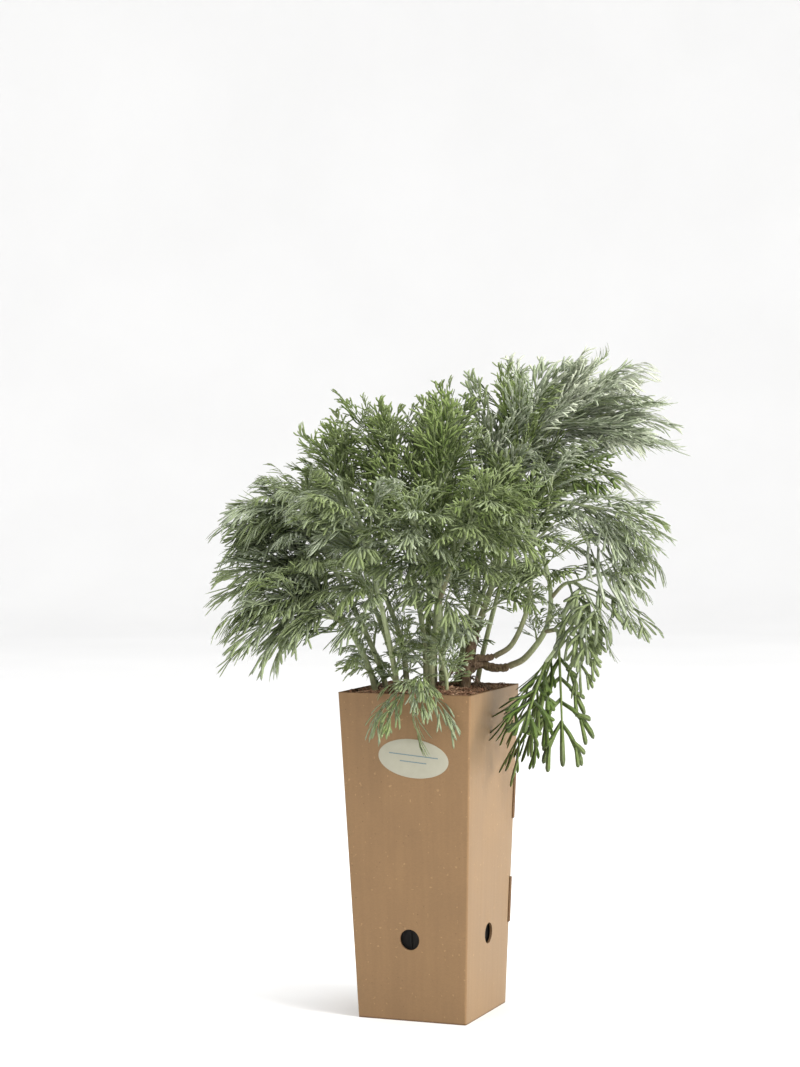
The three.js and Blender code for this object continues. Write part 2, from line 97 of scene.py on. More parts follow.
# Each shoot, as on the solid model: the stem it belongs to, its radius at both ends (thick), its leaf places,
# the bare share of its length, the length of its longest leaf (reach), how far its leaves' lobes spread, how
# far they droop, the degrees between the shoot and its last and first leaf (open), the way in which they lean
# (sweep), and its route as (across, deep, high), seen from the bush's best side. Of the fine leaves only: how
# silver they are, how wide a lobe is (segment), how many stand between two solid ones, and how many side
# shoots it and low sprigs its bare foot bears.
Shoot = namedtuple("Shoot", "stem thick leaves bare reach spread droop open sweep silver segment route "
                   "between side low", defaults=(1, 5, 2))

SHOOTS = [
    Shoot("left_low_stem", (2.3, 1.1), 21, 0.46, 88, 0.5, 0.42, (22, 52), (-0.7, -0.1, 0.3), 0.6, 2.2,
          [(-36, -9, 190), (-39, -10, 228), (-54, -15, 262), (-68, -20, 284), (-80, -24, 298)], low=4),
    Shoot("left_low_stem", (1.4, 0.9), 12, 0.35, 62, 0.65, 0.3, (26, 55), (-0.45, -0.2, 0), 0.5, 2.35,
          [(-54, -15, 262), (-71, -29, 274), (-88, -38, 278)], low=4),
    Shoot("left_mid_stem", (2.2, 1.1), 21, 0.42, 76, 0.55, 0.36, (24, 56), (-0.6, 0, 0.2), 0.55, 2.25,
          [(-26, 4, 190), (-33, 4, 232), (-56, -2, 285), (-74, -8, 320), (-87, -11, 336)], low=4),
    Shoot("left_high_stem", (2.2, 1.1), 21, 0.42, 62, 0.7, 0.1, (28, 60), (-0.3, 0, 0.4), 0.3, 2.35,
          [(-15, 14, 190), (-18, 13, 245), (-33, 10, 292), (-48, 8, 338), (-59, 6, 366)],
          between=2, side=6, low=4),
    Shoot("left_front_stem", (2.1, 1.1), 21, 0.38, 66, 0.6, 0.34, (28, 62), (-0.4, -0.35, 0.1), 0.55, 2.5,
          [(-20, -16, 190), (-24, -22, 235), (-34, -38, 286), (-44, -50, 324), (-54, -58, 340)], low=4),
    Shoot("upper_left_stem", (2.2, 1.0), 21, 0.42, 58, 0.7, 0.06, (26, 60), (-0.3, 0, 0.25), 0.3, 2.35,
          [(-4, 10, 190), (-3, 8, 245), (-12, 6, 307), (-20, 4, 354), (-27, 3, 380)], between=2, side=7),
    Shoot("front_stem", (2.8, 1.2), 21, 0.36, 64, 0.85, 0.25, (28, 65), (-0.15, -0.35, 0.05), 0.55, 2.5,
          [(2, -14, 190), (1, -18, 240), (6, -22, 278), (-2, -38, 312), (-12, -54, 335)]),
    Shoot("front_stem", (1.6, 1.0), 15, 0.2, 58, 0.85, 0.25, (28, 62), (0.2, -0.3, 0), 0.32, 2.5,
          [(6, -22, 278), (16, -40, 308), (27, -54, 330), (35, -60, 342)], between=2, side=7),
    Shoot("central_stem", (2.4, 1.0), 21, 0.42, 54, 0.75, 0.04, (24, 58), (0.05, 0, 0.3), 0.24, 2.35,
          [(9, 4, 190), (8, 2, 250), (7, 1, 300), (8, -3, 350), (12, -4, 390)], between=2, side=7),
    Shoot("crown_stem", (2.4, 1.1), 24, 0.24, 60, 0.7, 0.04, (26, 58), (0.05, 0, 0.3), 0.32, 2.35,
          [(32.4, 6, 260), (40, 6, 280), (54, 7, 320), (60, 7, 362), (61, 7, 398)], between=2, side=7),
    Shoot("right_high_stem", (2.4, 1.1), 24, 0.42, 86, 0.45, 0.08, (24, 54), (0.4, -0.05, 0.32), 0.75, 2,
          [(17, 14, 190), (24, 16, 240), (34, 17, 293), (48, 17, 345), (64, 15, 382), (79, 13, 404)],
          between=2, side=8),
    Shoot("right_high_stem", (1.5, 1.0), 15, 0.22, 88, 0.45, 0.12, (20, 48), (0.7, 0, 0.05), 0.85, 2,
          [(57, 16, 368), (73, 19, 385), (87, 20, 394), (98, 20, 398)], between=2, side=6),
    Shoot("right_mid_stem", (2.0, 1.0), 18, 0.42, 64, 1, 0.1, (26, 62), (0.4, -0.1, 0.05), 0.22, 3.2,
          [(27, 20, 190), (38, 26, 245), (54, 24, 300), (74, 12, 346), (91, -2, 368)],
          between=0, side=2, low=0),
    Shoot("arching_stem", (1.9, 0.9), 18, 0.46, 62, 0.65, 0.25, (24, 58), (0.3, -0.1, -0.3), 0.68, 2.4,
          [(44, -2, 241), (57, -5, 251), (68, -8, 280), (70, -10, 318),
           (86, -12, 343), (107, -12, 342), (122, -12, 326)]),
    Shoot("lower_right_stem", (2.3, 1.1), 15, 0.56, 54, 0.85, 0.2, (30, 65), (0, -0.3, 0.05), 0.4, 2.5,
          [(54, 2, 234), (66, -2, 241), (80, -6, 262), (82, -8, 288), (74, -22, 316), (62, -30, 336)], side=3),
    Shoot("lower_right_stem", (1.4, 0.9), 12, 0.35, 64, 1, 0.3, (34, 62), (0.15, -0.1, -0.35), 0.5, 3.1,
          [(82, -6, 280), (91, -12, 290), (99, -18, 291), (105, -22, 286)], between=0, side=2, low=0),
    Shoot("lower_right_stem", (1.5, 1.1), 13, 0.4, 82, 1, 0.2, (34, 52), (0, -0.1, -0.6), 0.02, 3.5,
          [(79, -6, 258), (86, -20, 259), (84, -31, 249), (77, -38, 240)], between=0, side=0, low=0),
    Shoot("front_low_shoot", (1.3, 0.8), 7, 0.4, 44, 0.8, 0.3, (24, 55), (0, -0.3, -0.6), 0.5, 2.5,
          [(-7, -29, 200), (-8, -33, 222), (-13, -45, 229), (-18, -54, 222)], side=1, low=0),
    Shoot("low_middle_shoot", (1.4, 0.8), 12, 0.3, 30, 0.8, 0.2, (30, 75), (0, -0.2, 0.1), 0.5, 2,
          [(10, -26, 195), (11, -29, 225), (9, -32, 242), (12, -35, 254)], side=4),
    Shoot("back_left_stem", (2.2, 1.1), 21, 0.4, 66, 0.7, 0.28, (28, 60), (-0.3, 0.2, 0), 0.5, 2.35,
          [(-20, 26, 190), (-26, 32, 240), (-46, 50, 292), (-66, 66, 332), (-78, 76, 348)]),
    Shoot("back_stem", (2.3, 1.1), 21, 0.4, 64, 0.75, 0.28, (28, 60), (0, 0.35, 0), 0.45, 2.35,
          [(-2, 30, 190), (-1, 36, 245), (2, 54, 300), (6, 74, 344), (8, 84, 360)]),
    Shoot("back_right_stem", (2.2, 1.1), 21, 0.4, 66, 0.7, 0.28, (28, 60), (0.25, 0.25, 0), 0.45, 2.35,
          [(14, 28, 190), (24, 36, 245), (44, 52, 295), (64, 66, 338), (78, 74, 354)]),
    Shoot("back_high_stem", (2.2, 1.0), 21, 0.42, 56, 0.75, 0.06, (26, 60), (0, 0.15, 0.2), 0.42, 2.35,
          [(3, 20, 190), (4, 22, 250), (8, 32, 310), (8, 42, 360), (4, 48, 384)]),
]

DRY_LEAVES = 16
WOODY_LIMBS = [
    dict(route=[(22, -4, 185), (23, -4, 214), (26, -2, 236), (30, 3, 250), (32, 5.5, 257.6)], thick=(4.4, 2.9)),
    dict(route=[(25, -3, 230), (33, -1, 236), (44, 1, 233), (52.3, 1.6, 233.2)], thick=(3.2, 2.7)),
    dict(route=[(26, -2, 235), (32, -3, 240), (38, -3, 240), (42.4, -2.2, 240.6)], thick=(2.6, 2.2)),
]


# Camera, lights and floor

VIEWPOINT = {"across": -19.2, "deep": -1696.9, "high": 372.7, "down": 1.604, "roll": -0.589}
PHOTO = {"height": 1067, "focal": 2500}  # pixels
SENSOR = 36
LIT_POINT = (0, 0, 0.25)
# Name, place and diameter in metres, watts and colour
LIGHTS = (
    ("key", (2.3, -0.5, 1.4), 1.1, 80, (1.0, 0.985, 0.96)),
    ("fill", (-1.4, -2.2, 1.3), 1.6, 5, (0.97, 0.985, 1.0)),
    ("top", (-0.2, 0.3, 2.4), 1.2, 24, (1.0, 1.0, 1.0)),
)
SKY_STRENGTH = 1.02


def spun(x, y, angle):
    """A flat point turned about its origin by radians."""
    cos, sin = math.cos(angle), math.sin(angle)
    return x * cos - y * sin, x * sin + y * cos


def turned(point):
    """A point or direction given as (across, deep, high), in the frame's axes."""
    across, deep, high = point
    return np.array([*spun(across, deep, math.radians(TURN)), high])


def put(name, data):
    """A new object in the scene."""
    made = bpy.data.objects.new(name, data)
    bpy.context.scene.collection.objects.link(made)
    return made


def add_camera():
    data = bpy.data.cameras.new("camera")
    data.sensor_width = SENSOR
    data.lens = PHOTO["focal"] / PHOTO["height"] * SENSOR
    camera = put("camera", data)
    down = math.radians(VIEWPOINT["down"])
    right = Vector(turned((1, 0, 0)))
    ahead = Vector(turned((0, math.cos(down), -math.sin(down))))
    up = right.cross(ahead)
    right, up = spun(right, up, -math.radians(VIEWPOINT["roll"]))
    rotation = Matrix((right, up, -ahead)).transposed().to_4x4()
    place = turned((VIEWPOINT["across"], VIEWPOINT["deep"], VIEWPOINT["high"])) * MM
    camera.matrix_world = Matrix.Translation(place) @ rotation
    bpy.context.scene.camera = camera


def add_studio():
    for name, place, size, power, colour in LIGHTS:
        data = bpy.data.lights.new(name, "AREA")
        data.shape = "DISK"
        data.size = size
        data.energy = power
        data.color = colour
        light = put(name, data)
        light.location = place
        light.rotation_euler = (Vector(LIT_POINT) - Vector(place)).to_track_quat("-Z", "Y").to_euler()
    world = bpy.data.worlds.new("studio")
    world.use_nodes = True
    background = world.node_tree.nodes["Background"]
    background.inputs["Color"].default_value = (1.0, 1.0, 1.0, 1.0)
    background.inputs["Strength"].default_value = SKY_STRENGTH
    bpy.context.scene.world = world
    bpy.context.scene.view_settings.view_transform = "Standard"


def add_floor(material):
    """A wide pale floor that curves up into a low wall far away on every side."""
    rings, around = [(0.0, 0.0), (0.4, 0.0), (1.0, 0.0), (2.0, 0.0), (4.0, 0.0)], 96
    rings += [(4 + 1.5 * math.sin(a), 1.5 - 1.5 * math.cos(a)) for a in np.radians(np.arange(7.5, 91, 7.5))]
    rings += [(5.5, 3.5)]
    points = [(max(r, 0.001) * math.cos(a), max(r, 0.001) * math.sin(a), z)
              for r, z in rings for a in np.arange(around) * 2 * math.pi / around]
    mesh = bpy.data.meshes.new("floor")
    mesh.from_pydata(points, [], [face[::-1] for face in ring_faces(len(rings), around).tolist()])
    mesh.shade_smooth()
    mesh.materials.append(material)
    floor = put("floor", mesh)


# Materials


class Finish:
    """A node material: its Principled shader, and short ways to add nodes to it."""

    def __init__(self, name, **settings):
        self.material = bpy.data.materials.new(name)
        self.material.use_nodes = True
        self.tree = self.material.node_tree
        self.shader = self.tree.nodes["Principled BSDF"]
        for socket, value in settings.items():
            self.shader.inputs[socket.replace("_", " ")].default_value = value
        self.place = self.add("ShaderNodeTexCoord").outputs["Object"]

    def join(self, value, socket):
        """Links another node's output to an input socket, or sets its value."""
        if isinstance(value, bpy.types.NodeSocket):
            self.tree.links.new(value, socket)
        else:
            socket.default_value = value

    def add(self, kind, **sockets):
        """A node whose input sockets hold values or other nodes' outputs, named with _ for a blank."""
        node = self.tree.nodes.new(kind)
        for name, value in sockets.items():
            self.join(value, node.inputs[name.replace("_", " ")])
        return node

    def noise(self, size, detail=3, stretch=(1, 1, 1), rough=0.5):
        """Noise whose blobs are about size millimetres, drawn out by stretch along X, Y and Z."""
        scaled = self.add("ShaderNodeMapping", Vector=self.place)
        scaled.inputs["Scale"].default_value = [1 / (size * MM * s) for s in stretch]
        texture = self.add("ShaderNodeTexNoise", Vector=scaled.outputs["Vector"], Scale=1.0, Detail=detail,
                           Roughness=rough)
        return texture.outputs["Fac"]

    def mottle(self, size, stops, **grain):
        """A colour ramp over noise."""
        return self.ramp(self.noise(size, **grain), stops)

    def patches(self, size):
        """Noise from -0.25 to 0.25."""
        return self.maths("MULTIPLY", self.maths("SUBTRACT", self.noise(size), 0.5), 0.5)

    def attribute(self, name):
        node = self.add("ShaderNodeAttribute")
        node.attribute_name = name
        return node.outputs["Fac"]

    def ramp(self, factor, stops):
        """A colour ramp over stops of position and colour, where one number is a grey."""
        node = self.add("ShaderNodeValToRGB", Fac=factor)
        ramp = node.color_ramp
        while len(ramp.elements) < len(stops):
            ramp.elements.new(0.5)
        for element, (position, colour) in zip(ramp.elements, stops):
            element.position = position
            element.color = (*np.broadcast_to(colour, 3), 1)
        return node.outputs["Color"]

    def multiply(self, first, second):
        """One colour times another."""
        node = self.tree.nodes.new("ShaderNodeMix")
        node.data_type = "RGBA"
        node.blend_type = "MULTIPLY"
        factor, _, _, _, _, _, under, over = node.inputs[:8]
        for value, socket in ((1.0, factor), (first, under), (second, over)):
            self.join(value, socket)
        return node.outputs[2]

    def maths(self, operation, *values):
        node = self.tree.nodes.new("ShaderNodeMath")
        node.operation = operation
        for value, socket in zip(values, node.inputs):
            self.join(value, socket)
        return node.outputs[0]

    def colour(self, *layers):
        """The surface's colour: one output, or several multiplied."""
        colour = layers[0]
        for layer in layers[1:]:
            colour = self.multiply(colour, layer)
        self.join(colour, self.shader.inputs["Base Color"])

    def roughness(self, factor, low, high):
        """Roughness from low to high as a factor goes from 0.3 to 0.7."""
        self.join(self.ramp(factor, [(0.3, low), (0.7, high)]), self.shader.inputs["Roughness"])

    def bump(self, height, depth, strength=1.0):
        """Relief from a height between 0 and 1, depth millimetres deep."""
        node = self.add("ShaderNodeBump", Height=height, Strength=strength, Distance=depth * MM)
        self.join(node.outputs["Normal"], self.shader.inputs["Normal"])


def felted_leaf():
    """Leaves: green under a silver felt that lies thicker on some leaves, towards the ends of their lobes and on
    their ribs.
    """
    finish = Finish("felted_leaf", Roughness=0.78, Sheen_Weight=0.08, Sheen_Roughness=0.4,
                    Sheen_Tint=(0.92, 0.97, 0.9, 1), Specular_IOR_Level=0.22)
    felt = finish.maths("ADD", finish.attribute("silver"), finish.patches(3.0))
    colour = finish.ramp(felt, [(0.0, (0.096, 0.155, 0.025)), (0.35, (0.196, 0.252, 0.085)),
                                (0.6, (0.27, 0.326, 0.16)), (0.85, (0.36, 0.415, 0.285)),
                                (1.0, (0.62, 0.66, 0.51))])
    # Painted shade: leaves further back from their shoot's tip, deeper in the bush, are darkened to as little as
    # 0.72 of their colour.
    depth = finish.ramp(finish.attribute("shade"), [(0.0, 0.72), (1.0, 1)])
    finish.colour(colour, depth)
    finish.bump(finish.noise(0.5, detail=2), 0.08, 0.5)
    return finish.material


def felted_stem():
    """Stems: pale felted green, browner and barer towards the soil."""
    finish = Finish("felted_stem", Roughness=0.75, Sheen_Weight=0.12, Sheen_Roughness=0.5,
                    Sheen_Tint=(0.92, 0.97, 0.93, 1), Specular_IOR_Level=0.3)
    darker_at_foot = finish.maths("ADD", finish.attribute("age"), finish.patches(4))
    colour = finish.ramp(darker_at_foot, [(0.0, (0.4, 0.46, 0.27)), (0.45, (0.33, 0.37, 0.2)), (1.0, (0.2, 0.16, 0.095))])
    streaks = finish.mottle(0.7, [(0.35, 0.8), (0.65, (1.1, 1.1, 1.08))], stretch=(1, 1, 12))
    finish.colour(colour, streaks)
    finish.bump(finish.noise(0.6, stretch=(1, 1, 10)), 0.15, 0.6)
    return finish.material


def young_bark():
    finish = Finish("young_bark", Roughness=0.85, Specular_IOR_Level=0.3)
    streaks = finish.noise(1.0, detail=5, stretch=(1, 1, 4))
    colour = finish.ramp(streaks, [(0.3, (0.07, 0.045, 0.028)), (0.55, (0.16, 0.105, 0.065)),
                                   (0.8, (0.28, 0.22, 0.15))])
    moss = finish.mottle(5, [(0.45, 1), (0.75, (0.85, 0.98, 0.72))])
    finish.colour(colour, moss)
    finish.bump(streaks, 0.5, 0.9)
    return finish.material


def kraft():
    """Warm brown liner: fibres, dark and pale specks, faint flute lines, a damp top and a darker bottom edge."""
    finish = Finish("kraft_liner", Roughness=0.6, Specular_IOR_Level=0.4, Sheen_Weight=0.3,
                    Sheen_Roughness=0.45, Sheen_Tint=(0.94, 0.94, 0.78, 1))
    cloud = finish.noise(30, detail=4, stretch=(1, 1, 1.6))
    colour = finish.ramp(cloud, [(0.3, (0.218, 0.125, 0.054)), (0.7, (0.247, 0.144, 0.064))])
    fibres = finish.mottle(0.9, [(0.3, (0.93, 0.93, 0.92)), (0.7, (1.06, 1.06, 1.05))], detail=4,
                           stretch=(1.6, 1.6, 1), rough=0.7)
    flutes = finish.mottle(FLUTE["pitch"], [(0.35, (0.975, 0.97, 0.965)), (0.65, 1.02)], detail=1,
                           stretch=(1, 1, 40))
    dark = finish.mottle(1.7, [(0.755, 1), (0.8, (0.55, 0.48, 0.42))], detail=1)
    pale = finish.mottle(2.1, [(0.785, 1), (0.815, (1.35, 1.4, 1.45))], detail=0)
    height = finish.add("ShaderNodeSeparateXYZ", Vector=finish.place).outputs["Z"]
    near_rim = finish.maths("SUBTRACT", finish.maths("MULTIPLY", height, 1 / (DAMP["over"] * MM)),
                            DAMP["from"] / DAMP["over"])
    drips = finish.maths("MULTIPLY", near_rim, finish.noise(7, detail=3, stretch=(1, 1, 6)))
    damp = finish.ramp(drips, [(0.2, 1), (0.55, (0.86, 0.83, 0.8))])
    # Darker within about a millimetre of the bottom edge, by height alone.
    darker_at_foot = finish.ramp(finish.maths("MULTIPLY", height, 1 / (BOARD * MM)),
                       [(0.3, (0.5, 0.42, 0.36)), (0.75, 1)])
    finish.colour(colour, fibres, flutes, dark, pale, damp, darker_at_foot)
    finish.roughness(cloud, 0.56, 0.66)
    relief = finish.maths("ADD", finish.noise(FLUTE["pitch"], detail=0, stretch=(1, 1, 40)),
                          finish.maths("MULTIPLY", finish.noise(0.8, detail=3), 0.4))
    finish.bump(relief, 0.1, 0.5)
    return finish.material


def mottled(name, grain, stops, relief=None, roughness=0.9, specular=0.5):
    """Noise run through colours, with relief as (size, or none for the same noise, depth, strength)."""
    finish = Finish(name, Roughness=roughness, Specular_IOR_Level=specular)
    mottle = finish.noise(*grain)
    finish.colour(finish.ramp(mottle, stops))
    if relief:
        size, depth, strength = relief
        finish.bump(finish.noise(size) if size else mottle, depth, strength)
    return finish.material


def raw_board():
    """Cut edges of the board, darker and fuzzier than its faces."""
    colours = [(0.3, (0.1, 0.056, 0.028)), (0.7, (0.2, 0.122, 0.066))]
    return mottled("raw_board_edge", (0.7, 5), colours, (None, 0.35, 0.9), 0.95, 0.15)


def label_paper():
    colours = [(0.3, (0.362, 0.347, 0.268)), (0.7, (0.388, 0.373, 0.292))]
    return mottled("label_paper", (6,), colours, (1.6, 0.03, 0.4), 0.42, 0.4)


def label_ink():
    return mottled("label_ink", (0.6,), [(0.3, (0.09, 0.15, 0.17)), (0.7, (0.15, 0.22, 0.24))], roughness=0.5)


def black_plastic():
    finish = Finish("black_plastic", Roughness=0.5, Specular_IOR_Level=0.14)
    scuffs = finish.noise(5, detail=5, rough=0.65)
    finish.colour(finish.ramp(scuffs, [(0.35, 0.004), (0.75, (0.014, 0.012, 0.01))]))
    finish.roughness(scuffs, 0.45, 0.65)
    finish.bump(finish.noise(0.9, detail=3), 0.06, 0.5)
    return finish.material


def potting_mix():
    colours = [(0.3, (0.04, 0.021, 0.012)), (0.55, (0.12, 0.066, 0.038)), (0.75, (0.23, 0.14, 0.085))]
    return mottled("potting_mix", (2.2, 6, (1, 1, 1), 0.7), colours, (None, 1.2, 1.0), 0.95, 0.2)


def coir():
    """Coir fibres and bark crumbs: reddish brown, some bleached."""
    finish = Finish("coir_fibre", Roughness=0.85, Specular_IOR_Level=0.3)
    bleached = finish.maths("MULTIPLY", finish.noise(2, detail=4), 0.4)
    tone = finish.maths("ADD", finish.attribute("tone"), bleached)
    colours = [(0.2, (0.07, 0.034, 0.02)), (0.6, (0.25, 0.13, 0.075)), (1.0, (0.46, 0.31, 0.2))]
    finish.colour(finish.ramp(tone, colours))
    finish.bump(finish.noise(0.8, detail=3), 0.2, 0.7)
    return finish.material


def dry_leaf():
    colours = [(0.3, (0.12, 0.075, 0.05)), (0.7, (0.3, 0.22, 0.16))]
    return mottled("dry_leaf", (3,), colours, (0.7, 0.1, 0.5), 0.9, 0.2)


def pale_floor():
    return mottled("pale_floor", (400,), [(0.3, 0.86), (0.7, 0.885)], specular=0.1)


# Meshes


class Heap:
    """Points in millimetres, faces and point attributes gathered for one mesh."""

    def __init__(self, *attributes):
        self.points = []
        self.faces = []
        self.slots = []
        self.values = {name: [] for name in attributes}
        self.count = 0

    def add(self, points, faces, slot=0, **values):
        """More points and faces. A face has four corners, or three and -1; a slot is for all or for each."""
        points = np.asarray(points, float).reshape(-1, 3)
        faces = np.asarray(faces, int).reshape(-1, 4)
        self.points.append(points)
        self.faces.append(np.where(faces < 0, -1, faces + self.count))
        self.slots.append(np.broadcast_to(slot, len(faces)))
        for name, held in self.values.items():
            held.append(np.broadcast_to(values.get(name, 0.0), len(points)))
        self.count += len(points)

    def piece(self, name, materials):
        """All of it as one smooth mesh that rides on the row's body."""
        mesh = bpy.data.meshes.new(name)
        mesh.vertices.add(self.count)
        mesh.vertices.foreach_set("co", (np.concatenate(self.points).astype(np.float32) * MM).ravel())
        faces = np.concatenate(self.faces).astype(np.int32)
        corners = faces[faces >= 0]
        sizes = (faces >= 0).sum(1)
        mesh.loops.add(len(corners))
        mesh.loops.foreach_set("vertex_index", corners)
        mesh.polygons.add(len(faces))
        mesh.polygons.foreach_set("loop_start", np.concatenate([[0], np.cumsum(sizes)[:-1]]).astype(np.int32))
        mesh.polygons.foreach_set("material_index", np.concatenate(self.slots).astype(np.int32))
        for material in materials:
            mesh.materials.append(material)
        mesh.update(calc_edges=True)
        mesh.shade_smooth()
        for attribute, values in self.values.items():
            layer = mesh.attributes.new(attribute, "FLOAT", "POINT")
            layer.data.foreach_set("value", np.concatenate(values).astype(np.float32))
        piece = put(name, mesh)
        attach(piece, "root")
        return piece


def ring_faces(rings, around):
    """Faces between rings of points, each ring a closed loop."""
    i, j = np.meshgrid(np.arange(rings - 1), np.arange(around), indexing="ij")
    low = i * around
    after = (j + 1) % around
    return np.stack([low + j, low + after, low + around + after, low + around + j], -1).reshape(-1, 4)


def spike_faces(rings):
    """Faces of a closed spike: rings of three points, then one point as its tip."""
    last = (rings - 1) * 3
    fan = [[last + j, last + (j + 1) % 3, last + 3, -1] for j in range(3)]
    return np.concatenate([ring_faces(rings, 3), fan, [[2, 1, 0, -1]]])


# Stems


class Route:
    """A smooth line through points, given as (across, deep, high)."""

    def __init__(self, points):
        self.points = np.array([turned(point) for point in points])

    def at(self, share):
        points = self.points
        last = len(points) - 1
        i = min(int(share * last), last - 1)
        step = share * last - i
        start, stop = points[i], points[i + 1]
        before = points[i - 1] if i > 0 else 2 * points[0] - points[1]
        beyond = points[i + 2] if i + 2 <= last else 2 * points[last] - points[last - 1]
        leave, arrive = (stop - before) / 2, (beyond - start) / 2
        square, cube = step * step, step**3
        return (start + leave * step + (3 * (stop - start) - 2 * leave - arrive) * square
                + (2 * (start - stop) + leave + arrive) * cube)

    def way(self, share):
        step = 0.0001
        return unit(self.at(min(1, share + step)) - self.at(max(0, share - step)))


def unit(vector):
    return vector / np.linalg.norm(vector)


def add_tube(heap, route, thick, slot, sides=12, rings=44, ridges=5, ridge=0.07, knots=0.0, seed=0, **values):
    """A tapering, ridged round stem along a route, closed at its tip by a small dome."""
    line = Route(route)
    shares = np.concatenate([np.linspace(0, 1, rings), [1, 1]])
    swell = np.concatenate([np.ones(rings), [0.75, 0.3]])
    push = np.concatenate([np.zeros(rings), [0.45, 0.7]]) * thick[1]
    side = unit(np.cross(line.way(0), (0.3, -0.6, 0.2)))
    angles = np.arange(sides) * 2 * math.pi / sides
    bumps = np.random.default_rng(seed).uniform(-1, 1, (6, 3))
    points, ages = [], []
    for share, grow, out in zip(shares, swell, push):
        ahead = line.way(share)
        side = unit(side - ahead * (side @ ahead))
        other = np.cross(ahead, side)
        radius = (thick[0] + (thick[1] - thick[0]) * share) * grow
        wave = 1 + ridge * np.cos(ridges * angles + 3 * share)
        wave += knots * sum(np.sin(54 * b[0] * share + 2 * b[1] + angles * round(2 * b[2])) for b in bumps) / 3
        ring = np.cos(angles)[:, None] * side + np.sin(angles)[:, None] * other
        points.append(line.at(share) + ahead * out + (radius * wave)[:, None] * ring)
        ages += [share] * sides
    heap.add(np.concatenate(points), ring_faces(len(shares), sides), slot,
             age=np.clip(1 - 1.7 * np.array(ages), 0, 1), **values)


# Leaves


def chance(a, b):
    """A number from 0 to 1 that looks random and is the same for the same two numbers."""
    wave = math.sin(a * 12.9898 + b * 78.233) * 43758.5453
    return wave - math.floor(wave)


ROUND_FROM = unit(np.array([0.35, -0.55, 0.76]))
UP = np.array([0.0, 0.0, 1.0])


def aside(ahead, around):
    """The way out of a stem at an angle round it."""
    side = unit(np.cross(ahead, ROUND_FROM))
    return side * math.cos(around) + np.cross(ahead, side) * math.sin(around)


def blade_line(root, way, length, droop, roll, spread, back=0.0):
    """The curve of a leaf's rib, drooping to its tip, and the plane of its blade, rolled about it."""
    tip = root + way * 0.86 * length - UP * droop * length
    chord = unit(tip - root)
    level = unit(np.cross(chord, UP))
    across = level * math.cos(roll) + np.cross(chord, level) * math.sin(roll)
    return dict(root=root, middle=root + way * 0.5 * length, tip=tip, length=length, across=across,
                face=unit(np.cross(chord, across)), spread=spread, back=back)


def leaf_line(shoot, number, k, attempt=0):
    """Where leaf place k of a shoot lies, counted back from its tip: the rule of the solid blades."""
    line = Route(shoot.route)
    back = k / (shoot.leaves - 1)
    at = 1 - (1 - shoot.bare) * back**0.9
    stem = line.way(at)
    turn = BEND["turn"] * math.ceil(attempt / 2) * (1 if attempt % 2 else -1)
    around = math.radians(k * GOLDEN_ANGLE + number * 61 + 26 * (chance(number, k) - 0.5) + turn)
    opening = math.radians(shoot.open[0] + (shoot.open[1] - shoot.open[0]) * back)
    way = unit(stem * math.cos(opening) + math.sin(opening) * aside(stem, around) + turned(shoot.sweep))
    size = (0.62 + 0.38 * math.sin(math.pi * (0.12 + 0.75 * back))) * (0.9 + 0.2 * chance(number, k + 50))
    length = shoot.reach * size * (1 - BEND["shorter"] * attempt)
    roll = math.radians(56 * (chance(number, k + 90) - 0.5))
    droop = shoot.droop * (0.6 + 0.7 * back)
    return blade_line(line.at(at), way, length, droop, roll, shoot.spread, back)


def blade_points(line, along, side):
    """Points of a blade from shares along its rib and millimetres to its side."""
    along, side = np.asarray(along)[..., None], np.asarray(side)[..., None]
    left = 1 - along
    return (line["root"] * left**2 + line["middle"] * 2 * left * along + line["tip"] * along**2
            + line["across"] * side - line["face"] * BLADE["sag"] * np.abs(side) * np.sign(line["face"][2]))


def solid_blade_attempt(tree, shoot, number, k):
    """Which try the solid model kept for this leaf place: the one whose end lies on points of its node."""
    for attempt in range(BEND["tries"]):
        line = leaf_line(shoot, number, k, attempt)
        end = blade_points(line, BLADE["end"], 0)
        spots = [end + line["face"] * side * BLADE["thickness"] / 2 for side in (1, -1)]
        if all(tree.find(spot * MM)[2] < BLADE["near"] * MM for spot in spots):
            return attempt
    return 0


# How a leaf is cut, up to a spread of its lobes: pairs of lobes, where the first and last leave the rib, how
# far each leans ahead, and the smaller lobes on it as (share along it, degrees away from it, size)
CUTS = (
    (0.6, dict(pairs=5, stand=(0.1, 0.76), ahead=0.46, forks=((0.34, -14, 0.66), (0.5, 13, 0.58)))),
    (0.9, dict(pairs=4, stand=(0.14, 0.76), ahead=0.45, forks=((0.36, -20, 0.6), (0.52, 18, 0.52)))),
    (9.0, dict(pairs=4, stand=(0.22, 0.8), ahead=0.3, forks=((0.4, 30, 0.46), (0.58, -26, 0.4)))),
)
SHORT_LEAF = 38  # a leaf shorter than this has fewer lobes
# How far to the side lobes reach at shares of the rib's length, on a leaf cut wide open
REACH_AT = (0.3, 0.45, 0.68, 0.83, 0.98, 1.13, 1.2)
REACH_OUT = (0.05, 0.12, 0.26, 0.33, 0.29, 0.17, 0.05)
# Shares along a lobe, with its half width and thickness there: slim foot, blunt end
FINE_LOBE = dict(at=np.array([0, 0.5, 0.88]), wide=np.array([0.55, 0.92, 0.9]),
                 thick=np.array([0.6, 1.0, 0.75]))
BROAD_LOBE = dict(at=np.array([0, 0.3, 0.6, 0.86, 0.96]), wide=np.array([0.6, 0.75, 0.92, 1.0, 0.7]),
                  thick=np.array([0.5, 0.55, 0.6, 0.55, 0.4]))


